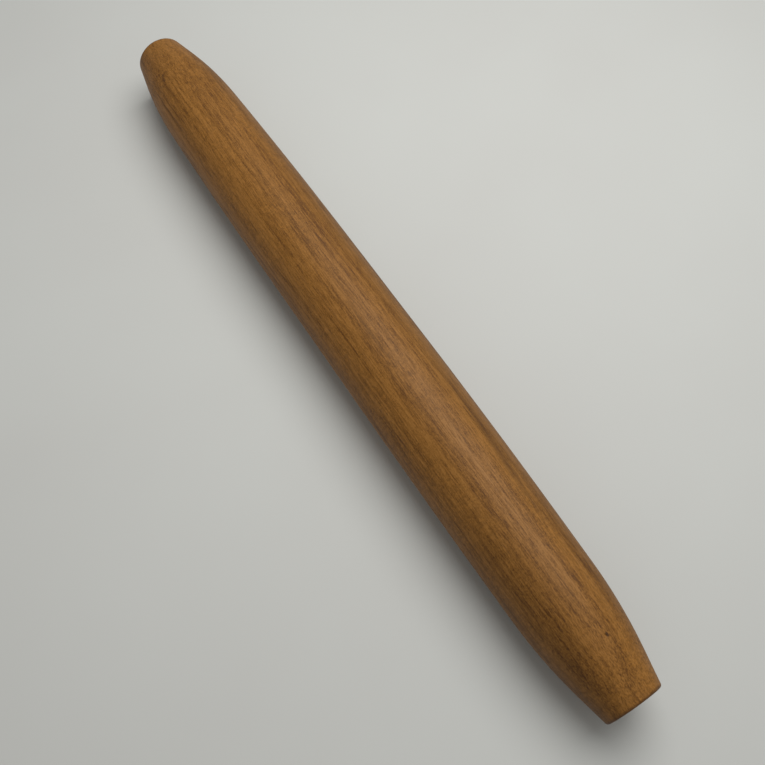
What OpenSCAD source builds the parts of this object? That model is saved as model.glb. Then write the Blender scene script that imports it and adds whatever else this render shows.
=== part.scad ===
// A French rolling pin: one turned stick of hardwood with no handles, in millimetres.
// Its axis lies along X, its middle is at the origin, and both halves are alike.
// The barrel is straight in the middle, crowned very slightly towards both sides,
// and runs over a soft shoulder into a plain taper at each end.

/* [Barrel] */
// Length of the whole pin, from end face to end face
overall_length = 406; // [300:1:560]
// Diameter of the straight stretch in the middle
mid_diameter = 43.4; // [36:0.2:60]
// Length of the straight stretch in the middle
straight_length = 80; // [20:5:180]
// How far the crown has taken the radius down where the tapers begin
crown_drop = 1.9; // [0.8:0.1:3]

/* [Tapered ends] */
// Length of each taper, from the edge of the crown to the end face
taper_length = 32; // [22:1:90]
// Diameter of each end, measured to the sharp corner that the rim rounds off
end_diameter = 26; // [16:0.5:30]
// Radius of the soft shoulder between crown and taper
shoulder_radius = 205; // [60:5:400]
// Radius of the rounded rim of each end face
end_rounding = 1.2; // [0.3:0.1:4]

/* [Hidden] */

// Points of the outline are [radius, place along the pin]
half_length = overall_length / 2;
mid_radius = mid_diameter / 2;
end_radius = end_diameter / 2;
crown_start = [mid_radius, straight_length / 2];
crown_edge = [mid_radius - crown_drop, half_length - taper_length];
crown_run = crown_edge[1] - crown_start[1];

// The crown is an arc that leaves the straight stretch smoothly and would reach crown_edge
crown_radius = (crown_run * crown_run + crown_drop * crown_drop) / (2 * crown_drop);
crown_centre = crown_start - [crown_radius, 0];
crown_angle = asin(crown_run / crown_radius);

// The taper is a straight line from crown_edge to the corner of the end face
taper_angle = atan2(crown_edge[0] - end_radius, taper_length);
end_corner = [end_radius, half_length];

// The shoulder is an arc that touches the crown's arc and the taper's line,
// and it takes up at most this share of either
shoulder_share = 0.9;
shoulder_room = shoulder_share * min(taper_length, crown_run);
shoulder_limit = shoulder_room / tan((taper_angle - crown_angle) / 2);
shoulder_arc = min(shoulder_radius, shoulder_limit);
taper_reach = direction(taper_angle) * (end_corner - crown_centre);
shoulder_turn = acos((taper_reach - shoulder_arc) / (crown_radius - shoulder_arc));
shoulder_angle = taper_angle - shoulder_turn;
shoulder_centre = crown_centre + (crown_radius - shoulder_arc) * direction(shoulder_angle);

// The rim's arc touches the taper's line and the end face
rim_inset = end_rounding * (1 - sin(taper_angle)) / cos(taper_angle);
rim_centre = end_corner - [rim_inset, end_rounding];
rim_start = rim_centre + end_rounding * direction(taper_angle);

// Number of straight steps that stand for each arc
crown_steps = 20;
shoulder_steps = 16;
rim_steps = 8;

// Number of sides that the round form is previewed with
round_sides = 180;

// Unit vector that stands square to an outline sloping down by this angle
function direction(angle) = [cos(angle), sin(angle)];

// Points along an arc after its first one, by the angle that the outline slopes down there
function arc_points(centre, radius, from, to, steps) =
    [for (step = [1:steps]) centre + radius * direction(from + (to - from) * step / steps)];

function mirrored(points) = [for (i = [len(points) - 1:-1:0]) [points[i][0], -points[i][1]]];

// Outline of one half, from the straight stretch out to the end face
half_outline = concat(
    [crown_start],
    arc_points(crown_centre, crown_radius, 0, shoulder_angle, crown_steps),
    arc_points(shoulder_centre, shoulder_arc, shoulder_angle, taper_angle, shoulder_steps),
    [rim_start],
    arc_points(rim_centre, end_rounding, taper_angle, 90, rim_steps),
    [[0, half_length]]
);

module turned_pin() {
    color([0.50, 0.34, 0.18])
        rotate([0, 90, 0])
            rotate_extrude($fn = round_sides)
                polygon(concat(mirrored(half_outline), half_outline));
}

turned_pin();
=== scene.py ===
import math
from collections import namedtuple

import bpy
import numpy as np
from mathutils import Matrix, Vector


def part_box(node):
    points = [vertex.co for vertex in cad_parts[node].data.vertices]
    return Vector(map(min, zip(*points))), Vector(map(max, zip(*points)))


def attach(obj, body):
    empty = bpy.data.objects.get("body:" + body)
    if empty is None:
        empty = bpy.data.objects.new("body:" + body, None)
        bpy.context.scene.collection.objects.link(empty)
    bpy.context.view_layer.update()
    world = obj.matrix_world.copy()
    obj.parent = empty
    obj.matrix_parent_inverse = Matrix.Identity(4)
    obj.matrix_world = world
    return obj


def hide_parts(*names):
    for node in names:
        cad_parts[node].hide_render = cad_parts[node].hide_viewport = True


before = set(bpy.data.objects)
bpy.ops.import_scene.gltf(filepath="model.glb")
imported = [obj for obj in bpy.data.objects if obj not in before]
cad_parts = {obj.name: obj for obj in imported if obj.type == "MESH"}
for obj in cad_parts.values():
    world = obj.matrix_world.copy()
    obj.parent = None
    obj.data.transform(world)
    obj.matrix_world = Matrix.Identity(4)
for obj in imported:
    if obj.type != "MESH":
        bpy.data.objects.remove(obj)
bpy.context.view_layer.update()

MM = 0.001
PIN_NODE = "turned_pin"

# Sizes that the pin's outline shares with its construction
STRAIGHT_LENGTH = 80 * MM
CROWN_DROP = 1.9 * MM
TAPER_LENGTH = 32 * MM
END_RADIUS = 13 * MM
SHOULDER_RADIUS = 205 * MM
END_ROUNDING = 1.2 * MM

# The stick has dried a little crooked: its ends lie this far to one side of its middle
WARP = 0.86 * MM

# The pin knot: its place along the pin, its degrees round it from the top, and its hollow's size and profile
KNOT_STATION = 176.7 * MM
KNOT_DEGREES = 5.7
KNOT_LENGTH = 0.8 * MM
KNOT_WIDTH = 0.45 * MM
KNOT_DEPTH = 0.35 * MM
KNOT_STEEPNESS = 1.5
KNOT_FALL = 2.2

# Ripples that hand sanding leaves: height as a share of the depth, length along the pin for each radian
# of the wave, waves round the pin, how far they sway with the angle, and where they start.
# A ripple with a negative length leans the other way.
SANDING_DEPTH = 0.012 * MM
Ripple = namedtuple("Ripple", "height length turns sway start")
RIPPLES = (
    Ripple(1.0, 9.7 * MM, 0, 0.8, 0.0),
    Ripple(1.0, 23.0 * MM, 2, 0.0, 1.1),
    Ripple(1.0, -61.0 * MM, 3, 0.0, 0.0),
    Ripple(0.6, 37.0 * MM, 7, 0.0, 0.0),
)

# How finely the pin's surface is cut, and how far the finer cuts reach from the knot
STATION_STEP = 1.25 * MM
ROUND_STEPS = 192
RIM_POINTS = 12
FACE_STEPS = 15
KNOT_ZONE = 2.2 * MM
KNOT_STEP = 0.14 * MM
KNOT_ZONE_DEGREES = 6
KNOT_STEP_DEGREES = 0.4

# Cuts that nearly meet are one: decimal places of stations and angles, and the least distance to the rim
STATION_DIGITS = 7
ANGLE_DIGITS = 6
RIM_CLEARANCE = 0.05 * MM

# Growth rings: where the pith lies beside the pin, how it drifts along it, and how the rings lie about it
PITH_ACROSS = -78 * MM
PITH_UP = -24 * MM
PITH_DRIFT_ACROSS = 0.006
PITH_DRIFT_UP = -0.012
RING_SPACING = 3.1 * MM
RING_WANDER = 3.0

# Grains of noise: length along the pin, width across it, octaves, roughness and distortion
Grain = namedtuple("Grain", "length width octaves roughness distortion", defaults=(0.5, 0.0))
RING_WANDER_GRAIN = Grain(130 * MM, 9 * MM, 3.0)
RING_PATCH_GRAIN = Grain(70 * MM, 5 * MM, 2.0)
BROAD_FIBRE_GRAIN = Grain(150 * MM, 6 * MM, 2.0)
MEDIUM_FIBRE_GRAIN = Grain(40 * MM, 1.6 * MM, 3.0, 0.6)
FINE_FIBRE_GRAIN = Grain(7 * MM, 0.34 * MM, 2.0, 0.6)
SPECKLE_GRAIN = Grain(0.75 * MM, 0.5 * MM, 1.0)
FIGURE_GRAIN = Grain(1.5 * MM, 2.6 * MM, 2.0, 0.6, 0.8)
FIGURE_PATCH_GRAIN = Grain(60 * MM, 16 * MM, 1.0)
PORE_GRAIN = Grain(10 * MM, 0.28 * MM, 1.0)
PORE_PATCH_GRAIN = Grain(80 * MM, 4 * MM, 1.0)
FLOOR_GRAIN = Grain(140 * MM, 140 * MM, 3.0)

# Windows: the two ends of a value's range, then what they become, which is 0 and 1 unless it is given
LATE_WOOD_START = (0.55, 0.92)
LATE_WOOD_END = (1.0, 0.94)
RING_PATCH_WINDOW = (0.38, 0.62)
FIGURE_WINDOW = (0.32, 0.68, -0.12, 0.12)
FIGURE_PATCH_WINDOW = (0.40, 0.60)
# Painted shade: the +Y side, and the -Y side towards the +X end, are darkened where the light falls off, with
# part of it the wood's own darker tone
PLUS_Y_PAINTED_SHADE_WINDOW = (5 * MM, 18 * MM, 1.0, 0.76)
MINUS_Y_PAINTED_SHADE_WINDOW = (-3 * MM, -15 * MM)
PLUS_X_PAINTED_SHADE_WINDOW = (60 * MM, 185 * MM)
PORE_WINDOW = (0.60, 0.68)
PORE_PATCH_WINDOW = (0.35, 0.65, 0.25, 0.75)
MARK_WINDOW = (1.0, 0.45)

# How much each layer of the wood adds to its tone, and the screen colours from its palest to its darkest tone
LATE_WOOD_SHARE = 0.05
BROAD_SHARE = 0.21
MEDIUM_SHARE = 0.20
FINE_SHARE = 0.40
SPECKLE_SHARE = 0.24
WOOD_TONES = ((0.45, (154, 106, 48)), (0.53, (136, 91, 35)), (0.59, (117, 76, 25)), (0.64, (92, 56, 16)))

# Painted shade and darker places in the wood: how strongly each one shows, its screen colour, and where the
# end grain begins
# Painted shade on the -Y side towards the +X end, where the light falls off, partly the wood's own darker
# tone
MINUS_Y_PAINTED_SHADE = -0.30
PORE_STRENGTH = 0.8
PORE_COLOUR = (84, 49, 17)
END_GRAIN_STRENGTH = 0.55
END_GRAIN_COLOUR = (66, 38, 16)
END_GRAIN_START = 1.6 * MM
END_GRAIN_FULL = 0.5 * MM
MARK_COLOUR = (44, 24, 10)

# Small dark marks and streaks: place along the pin, degrees round it from the top, size and strength
Mark = namedtuple("Mark", "station degrees length width strength")
MARKS = (
    Mark(KNOT_STATION, KNOT_DEGREES, 1.3 * MM, 0.8 * MM, 0.75),
    Mark(-171.4 * MM, -35.6, 2.6 * MM, 1.5 * MM, 0.45),
    Mark(-174.0 * MM, -33.0, 1.6 * MM, 1.6 * MM, 0.40),
    Mark(70 * MM, 37.5, 26 * MM, 1.7 * MM, 0.28),
    Mark(92 * MM, 33.0, 26 * MM, 1.7 * MM, 0.28),
    Mark(113 * MM, 28.5, 26 * MM, 1.7 * MM, 0.25),
    Mark(20 * MM, -10.0, 24 * MM, 0.8 * MM, 0.30),
    Mark(-60 * MM, 22.0, 30 * MM, 0.8 * MM, 0.26),
)

# The wood's oiled surface: its roughness, how far that varies, its gloss and its relief
WOOD_ROUGHNESS = 0.42
WOOD_ROUGHNESS_RANGE = 0.20
WOOD_IOR = 1.45
WOOD_SPECULAR = 0.28
RELIEF_DEPTH = 0.05 * MM
FINE_RELIEF = 0.6
MEDIUM_RELIEF = 0.5
PORE_RELIEF = -0.8

# The floor: how far it reaches from the pin, its screen colours and its surface
FLOOR_REACH = 4.0
FLOOR_TONES = ((0.3, (201, 201, 196)), (0.7, (204, 205, 200)))
FLOOR_ROUGHNESS = 0.75
FLOOR_IOR = 1.3

# The viewpoint: place in millimetres, heading from +X, dip below level, and focal length in pixels
CAMERA_PLACE = (178.9, -100.6, 349.5)
CAMERA_HEADING = 147.07
CAMERA_DIP = 63.75
FOCAL_PIXELS = 855.3
PHOTO_SIDE = 765
SENSOR_WIDTH = 36.0
NEAREST_SEEN = 0.01

# Light: where the lamp hangs, its diameter, and how much of the plain level the lamp and the sky each give
KEY_BEARING = 112.0
KEY_HEIGHT = 69.6
KEY_DISTANCE = 0.62
KEY_SIZE = 0.62
KEY_SHARE = 0.88
SKY_SHARE = 0.29


def from_screen(red, green, blue):
    """Linear colour of a screen colour given in steps of 255."""

    def linear(step):
        share = step / 255
        return share / 12.92 if share <= 0.04045 else ((share + 0.055) / 1.055) ** 2.4

    return (linear(red), linear(green), linear(blue), 1.0)


def half_outline(half_length, mid_radius):
    """The radius at any distance from the middle, as a function, then where the rim starts and its points."""
    crown_start = STRAIGHT_LENGTH / 2
    edge_station = half_length - TAPER_LENGTH
    edge_radius = mid_radius - CROWN_DROP
    run = edge_station - crown_start
    crown_radius = (run**2 + CROWN_DROP**2) / (2 * CROWN_DROP)
    crown_base = mid_radius - crown_radius
    slope = math.atan2(edge_radius - END_RADIUS, TAPER_LENGTH)
    reach = math.cos(slope) * (END_RADIUS - crown_base) + math.sin(slope) * (half_length - crown_start)
    turn = math.acos((reach - SHOULDER_RADIUS) / (crown_radius - SHOULDER_RADIUS))
    shoulder_slope = slope - turn
    shoulder_station = crown_start + (crown_radius - SHOULDER_RADIUS) * math.sin(shoulder_slope)
    shoulder_base = crown_base + (crown_radius - SHOULDER_RADIUS) * math.cos(shoulder_slope)
    shoulder_start = crown_start + crown_radius * math.sin(shoulder_slope)
    shoulder_end = shoulder_station + SHOULDER_RADIUS * math.sin(slope)
    rim_station = half_length - END_ROUNDING
    rim_base = END_RADIUS - END_ROUNDING * (1 - math.sin(slope)) / math.cos(slope)
    rim_start = rim_station + END_ROUNDING * math.sin(slope)

    def radius_at(stations):
        away = np.abs(stations)
        crown = crown_base + np.sqrt(crown_radius**2 - (away - crown_start) ** 2)
        shoulder_reach = np.clip(away - shoulder_station, -SHOULDER_RADIUS, SHOULDER_RADIUS)
        shoulder = shoulder_base + np.sqrt(SHOULDER_RADIUS**2 - shoulder_reach**2)
        taper = END_RADIUS + (half_length - away) * math.tan(slope)
        stretches = [away < crown_start, away < shoulder_start, away < shoulder_end]
        return np.select(stretches, [np.full_like(away, mid_radius), crown, shoulder], taper)

    angles = np.linspace(slope, math.pi / 2, RIM_POINTS)
    rim = np.stack([rim_station + END_ROUNDING * np.sin(angles), rim_base + END_ROUNDING * np.cos(angles)], 1)
    return radius_at, rim_start, rim


def surface_grid(half_length, mid_radius):
    """Stations along the pin, angles round it from the top, and the radius at each station."""
    radius_at, rim_start, rim = half_outline(half_length, mid_radius)
    rim_stations, rim_radii = rim.T
    even_stations = np.arange(-rim_start, rim_start, STATION_STEP)
    knot_stations = KNOT_STATION + np.arange(-KNOT_ZONE, KNOT_ZONE, KNOT_STEP)
    body = np.unique(np.round(np.concatenate([even_stations, knot_stations]), STATION_DIGITS))
    body = body[np.abs(body) < rim_start - RIM_CLEARANCE]
    stations = np.concatenate([-rim_stations[::-1], body, rim_stations])
    radii = np.concatenate([rim_radii[::-1], radius_at(body), rim_radii])

    full_turn = 2 * math.pi
    even_angles = np.linspace(0, full_turn, ROUND_STEPS, endpoint=False)
    knot_spread = np.arange(-KNOT_ZONE_DEGREES, KNOT_ZONE_DEGREES, KNOT_STEP_DEGREES)
    knot_angles = (math.radians(KNOT_DEGREES) + np.radians(knot_spread)) % full_turn
    angles = np.unique(np.round(np.concatenate([even_angles, knot_angles]), ANGLE_DIGITS))
    return stations, angles, radii


def knot_hollow(stations, angles, radii):
    """How far the surface sinks at the pin knot, for each station and angle."""
    along = (stations[:, None] - KNOT_STATION) / KNOT_LENGTH
    around = (angles[None, :] - math.radians(KNOT_DEGREES)) * radii[:, None] / KNOT_WIDTH
    return KNOT_DEPTH * np.exp(-KNOT_FALL * (along**2 + around**2) ** KNOT_STEEPNESS)


def hand_sanding(stations, angles):
    """How far sanding has sunk the surface, for each station and angle."""
    along = stations[:, None]
    around = angles[None, :]
    depth = 0
    for ripple in RIPPLES:
        phase = along / ripple.length + around * ripple.turns + ripple.sway * np.sin(around) + ripple.start
        depth = depth + ripple.height * (1 + np.sin(phase))
    return SANDING_DEPTH * depth


def grid_faces(ring_count, side_count):
    """Faces between neighbouring rings, and a fan at each end to one of the two points after the rings."""
    faces = []
    first_centre = ring_count * side_count
    last_ring = first_centre - side_count
    for start in range(0, last_ring, side_count):
        for step in range(side_count):
            after = (step + 1) % side_count
            faces.append((start + step, start + side_count + step, start + side_count + after, start + after))
    for step in range(side_count):
        after = (step + 1) % side_count
        faces.append((first_centre, step, after))
        faces.append((first_centre + 1, last_ring + after, last_ring + step))
    return faces


def build_pin():
    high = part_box(PIN_NODE)[1]
    half_length = high.x
    stations, angles, radii = surface_grid(half_length, high.z)
    surface = radii[:, None] - knot_hollow(stations, angles, radii) - hand_sanding(stations, angles)
    bend = -WARP * (stations / half_length) ** 2

    # The rings of the two end faces shrink towards their centres
    shares = np.linspace(1, 0, FACE_STEPS + 1)[1:-1, None]
    surface = np.concatenate([surface[0] * shares[::-1], surface, surface[-1] * shares])
    stations = np.pad(stations, len(shares), mode="edge")[:, None]
    bend = np.pad(bend, len(shares), mode="edge")[:, None]
    across = surface * np.sin(angles) + bend
    up = surface * np.cos(angles)
    points = np.stack([np.broadcast_to(stations, surface.shape), across, up], 2).reshape(-1, 3)
    centres = [(-half_length, bend[0, 0], 0), (half_length, bend[-1, 0], 0)]

    mesh = bpy.data.meshes.new("pin_wood")
    mesh.from_pydata(points.tolist() + centres, [], grid_faces(*surface.shape))
    mesh.polygons.foreach_set("use_smooth", [True] * len(mesh.polygons))
    piece = bpy.data.objects.new("pin_wood", mesh)
    bpy.context.scene.collection.objects.link(piece)
    return piece


class Graph:
    """Short calls that add shader nodes and join them."""

    def __init__(self, name):
        self.material = bpy.data.materials.new(name)
        self.material.use_nodes = True
        self.tree = self.material.node_tree
        self.shader = self.tree.nodes["Principled BSDF"]

    def put(self, socket, value):
        if isinstance(value, bpy.types.NodeSocket):
            self.tree.links.new(value, socket)
        else:
            socket.default_value = value

    def place(self):
        return self.tree.nodes.new("ShaderNodeTexCoord").outputs["Object"]

    def math(self, operation, first, second=0.0, third=0.0):
        node = self.tree.nodes.new("ShaderNodeMath")
        node.operation = operation
        self.put(node.inputs[0], first)
        self.put(node.inputs[1], second)
        self.put(node.inputs[2], third)
        return node.outputs[0]

    def vector_math(self, operation, first, second=(0.0, 0.0, 0.0)):
        node = self.tree.nodes.new("ShaderNodeVectorMath")
        node.operation = operation
        self.put(node.inputs[0], first)
        self.put(node.inputs[1], second)
        return node.outputs["Value"] if operation == "LENGTH" else node.outputs["Vector"]

    def split(self, vector):
        node = self.tree.nodes.new("ShaderNodeSeparateXYZ")
        self.put(node.inputs[0], vector)
        return node.outputs

    def counted(self, vector, length, width):
        """The vector counted in lengths along the pin and widths across it."""
        return self.vector_math("MULTIPLY", vector, (1 / length, 1 / width, 1 / width))

    def noise(self, place, grain):
        node = self.tree.nodes.new("ShaderNodeTexNoise")
        self.put(node.inputs["Vector"], self.counted(place, grain.length, grain.width))
        node.inputs["Scale"].default_value = 1.0
        node.inputs["Detail"].default_value = grain.octaves
        node.inputs["Roughness"].default_value = grain.roughness
        node.inputs["Distortion"].default_value = grain.distortion
        return node.outputs["Fac"]

    def window(self, value, low, high, out_low=0.0, out_high=1.0):
        """Moves value from low..high to out_low..out_high along a smooth step, held at both ends."""
        node = self.tree.nodes.new("ShaderNodeMapRange")
        node.interpolation_type = "SMOOTHSTEP"
        self.put(node.inputs["Value"], value)
        node.inputs["From Min"].default_value = low
        node.inputs["From Max"].default_value = high
        node.inputs["To Min"].default_value = out_low
        node.inputs["To Max"].default_value = out_high
        return node.outputs["Result"]

    def ramp(self, value, tones):
        """The colour of value among tones, each of them a position and a screen colour."""
        node = self.tree.nodes.new("ShaderNodeValToRGB")
        self.put(node.inputs["Fac"], value)
        elements = node.color_ramp.elements
        while len(elements) < len(tones):
            elements.new(0.5)
        for element, (position, colour) in zip(elements, tones):
            element.position = position
            element.color = from_screen(*colour)
        return node.outputs["Color"]

    def mix(self, share, first, second, blend="MIX"):
        node = self.tree.nodes.new("ShaderNodeMix")
        node.data_type = "RGBA"
        node.blend_type = blend
        colours = [socket for socket in node.inputs if socket.type == "RGBA"]
        self.put(node.inputs["Factor"], share)
        self.put(colours[0], first)
        self.put(colours[1], second)
        return next(socket for socket in node.outputs if socket.type == "RGBA")

    def shade(self, colour, brightness):
        return self.mix(1.0, colour, brightness, "MULTIPLY")

    def stain(self, colour, mask, strength, stain_colour):
        return self.mix(self.math("MULTIPLY", mask, strength), colour, from_screen(*stain_colour))

    def bump(self, height, depth):
        node = self.tree.nodes.new("ShaderNodeBump")
        self.put(node.inputs["Height"], height)
        node.inputs["Distance"].default_value = depth
        node.inputs["Strength"].default_value = 1.0
        return node.outputs["Normal"]


def late_wood(graph, place):
    """The darker outer part of each growth ring, about a pith that runs beside the pin, in patches."""
    along, across, up = graph.split(place)
    wander = graph.noise(place, RING_WANDER_GRAIN)
    wander = graph.math("MULTIPLY_ADD", wander, RING_WANDER, -RING_WANDER / 2)
    from_pith = graph.math("SUBTRACT", across, PITH_ACROSS)
    from_pith = graph.math("MULTIPLY_ADD", along, PITH_DRIFT_ACROSS, from_pith)
    above_pith = graph.math("SUBTRACT", up, PITH_UP)
    above_pith = graph.math("MULTIPLY_ADD", along, PITH_DRIFT_UP, above_pith)
    square = graph.math("MULTIPLY", from_pith, from_pith)
    square = graph.math("MULTIPLY_ADD", above_pith, above_pith, square)
    ring_count = graph.math("MULTIPLY_ADD", graph.math("SQRT", square), 1 / RING_SPACING, wander)
    phase = graph.math("FRACT", ring_count)
    late = graph.math("MULTIPLY", graph.window(phase, *LATE_WOOD_START), graph.window(phase, *LATE_WOOD_END))
    patches = graph.window(graph.noise(place, RING_PATCH_GRAIN), *RING_PATCH_WINDOW)
    return graph.math("MULTIPLY", late, patches)


def wood_colour(graph, place, medium, fine):
    """Colour of the plain wood: growth rings, fibres of three widths and a speckle between them."""
    broad = graph.noise(place, BROAD_FIBRE_GRAIN)
    speckle = graph.noise(place, SPECKLE_GRAIN)
    tone = graph.math("MULTIPLY", late_wood(graph, place), LATE_WOOD_SHARE)
    tone = graph.math("MULTIPLY_ADD", broad, BROAD_SHARE, tone)
    tone = graph.math("MULTIPLY_ADD", medium, MEDIUM_SHARE, tone)
    tone = graph.math("MULTIPLY_ADD", fine, FINE_SHARE, tone)
    tone = graph.math("MULTIPLY_ADD", speckle, SPECKLE_SHARE, tone)
    return graph.ramp(tone, WOOD_TONES)


def mottle(graph, place):
    """Brightness of the mottled figure across the grain, which shows in patches."""
    figure = graph.window(graph.noise(place, FIGURE_GRAIN), *FIGURE_WINDOW)
    patches = graph.window(graph.noise(place, FIGURE_PATCH_GRAIN), *FIGURE_PATCH_WINDOW)
    return graph.math("ADD", graph.math("MULTIPLY", figure, patches), 1.0)


def painted_side_shade(graph, place):
    """Brightness of the stick as a whole, a painted shade: darker on its +Y side, and on its -Y side towards
    the +X end, where the light falls off; part of it is the wood's own darker tone.
    """
    along, across, up = graph.split(place)
    plus_y_painted_shade = graph.window(across, *PLUS_Y_PAINTED_SHADE_WINDOW)
    plus_x_painted_shade = graph.window(along, *PLUS_X_PAINTED_SHADE_WINDOW)
    minus_y_painted_shade = graph.math("MULTIPLY", graph.window(across, *MINUS_Y_PAINTED_SHADE_WINDOW), plus_x_painted_shade)
    return graph.math("MULTIPLY_ADD", minus_y_painted_shade, MINUS_Y_PAINTED_SHADE, plus_y_painted_shade)


def pore_mask(graph, place):
    """1 in the short dark pores, more in some streaks of the wood than in others."""
    pores = graph.window(graph.noise(place, PORE_GRAIN), *PORE_WINDOW)
    patches = graph.window(graph.noise(place, PORE_PATCH_GRAIN), *PORE_PATCH_WINDOW)
    return graph.math("MULTIPLY", pores, patches)


def end_grain_mask(graph, place):
    """1 on both end faces, which take more oil, fading to 0 past the rim."""
    half_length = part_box(PIN_NODE)[1].x
    from_middle = graph.math("ABSOLUTE", graph.split(place)[0])
    return graph.window(from_middle, half_length - END_GRAIN_START, half_length - END_GRAIN_FULL)


def mark_mask(graph, place, mark):
    """1 at a small mark on the surface and 0 away from it."""
    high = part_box(PIN_NODE)[1]
    radius_at = half_outline(high.x, high.z)[0]
    radius = float(radius_at(np.array([mark.station]))[0])
    angle = math.radians(mark.degrees)
    centre = (mark.station, radius * math.sin(angle), radius * math.cos(angle))
    offset = graph.vector_math("SUBTRACT", place, centre)
    distance = graph.vector_math("LENGTH", graph.counted(offset, mark.length, mark.width))
    return graph.window(distance, *MARK_WINDOW)


def wood_material():
    graph = Graph("cherry_wood")
    place = graph.place()
    medium = graph.noise(place, MEDIUM_FIBRE_GRAIN)
    fine = graph.noise(place, FINE_FIBRE_GRAIN)
    pores = pore_mask(graph, place)

    colour = wood_colour(graph, place, medium, fine)
    colour = graph.shade(colour, mottle(graph, place))
    # Painted shade: darker on the +Y side, and on the -Y side towards the +X end, where the light falls off
    colour = graph.shade(colour, painted_side_shade(graph, place))
    colour = graph.stain(colour, pores, PORE_STRENGTH, PORE_COLOUR)
    colour = graph.stain(colour, end_grain_mask(graph, place), END_GRAIN_STRENGTH, END_GRAIN_COLOUR)
    for mark in MARKS:
        colour = graph.stain(colour, mark_mask(graph, place, mark), mark.strength, MARK_COLOUR)
    roughness = graph.math("MULTIPLY_ADD", medium, WOOD_ROUGHNESS_RANGE, WOOD_ROUGHNESS)
    relief = graph.math("MULTIPLY_ADD", fine, FINE_RELIEF, graph.math("MULTIPLY", pores, PORE_RELIEF))
    relief = graph.math("MULTIPLY_ADD", medium, MEDIUM_RELIEF, relief)

    graph.put(graph.shader.inputs["Base Color"], colour)
    graph.put(graph.shader.inputs["Roughness"], roughness)
    graph.shader.inputs["IOR"].default_value = WOOD_IOR
    graph.shader.inputs["Specular IOR Level"].default_value = WOOD_SPECULAR
    graph.put(graph.shader.inputs["Normal"], graph.bump(relief, RELIEF_DEPTH))
    return graph.material


def floor_material():
    graph = Graph("pale_floor")
    colour = graph.ramp(graph.noise(graph.place(), FLOOR_GRAIN), FLOOR_TONES)
    graph.put(graph.shader.inputs["Base Color"], colour)
    graph.shader.inputs["Roughness"].default_value = FLOOR_ROUGHNESS
    graph.shader.inputs["IOR"].default_value = FLOOR_IOR
    return graph.material


def build_floor():
    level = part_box(PIN_NODE)[0].z
    signs = ((-1, -1), (1, -1), (1, 1), (-1, 1))
    corners = [(FLOOR_REACH * x, FLOOR_REACH * y, level) for x, y in signs]
    mesh = bpy.data.meshes.new("floor")
    mesh.from_pydata(corners, [], [(0, 1, 2, 3)])
    floor = bpy.data.objects.new("floor", mesh)
    bpy.context.scene.collection.objects.link(floor)
    floor.data.materials.append(floor_material())


def direction(bearing, height):
    """Unit vector towards a bearing from +X and a height above level, in degrees."""
    level = math.cos(math.radians(height))
    across = math.radians(bearing)
    return Vector((level * math.cos(across), level * math.sin(across), math.sin(math.radians(height))))


def add_light():
    data = bpy.data.lights.new("key", "AREA")
    data.shape = "DISK"
    data.size = KEY_SIZE
    # At this power a level white surface at the origin shows about the lamp's share of full white
    slant = math.sin(math.radians(KEY_HEIGHT))
    data.energy = KEY_SHARE * math.pi**2 * KEY_DISTANCE**2 / slant
    lamp = bpy.data.objects.new("key", data)
    towards = direction(KEY_BEARING, KEY_HEIGHT)
    lamp.location = towards * KEY_DISTANCE
    lamp.rotation_euler = towards.to_track_quat("Z", "Y").to_euler()
    bpy.context.scene.collection.objects.link(lamp)
    world = bpy.data.worlds.new("studio")
    world.use_nodes = True
    background = world.node_tree.nodes["Background"]
    background.inputs["Color"].default_value = (1.0, 1.0, 1.0, 1.0)
    background.inputs["Strength"].default_value = SKY_SHARE
    bpy.context.scene.world = world


def add_camera():
    data = bpy.data.cameras.new("camera")
    data.sensor_width = SENSOR_WIDTH
    data.lens = FOCAL_PIXELS / PHOTO_SIDE * SENSOR_WIDTH
    data.clip_start = NEAREST_SEEN
    camera = bpy.data.objects.new("camera", data)
    camera.location = Vector(CAMERA_PLACE) * MM
    look = direction(CAMERA_HEADING, -CAMERA_DIP)
    camera.rotation_euler = look.to_track_quat("-Z", "Y").to_euler()
    bpy.context.scene.collection.objects.link(camera)
    bpy.context.scene.camera = camera


pin = build_pin()
pin.data.materials.append(wood_material())
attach(pin, "root")
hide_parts(PIN_NODE)

build_floor()
add_light()
add_camera()
bpy.context.scene.view_settings.view_transform = "Standard"
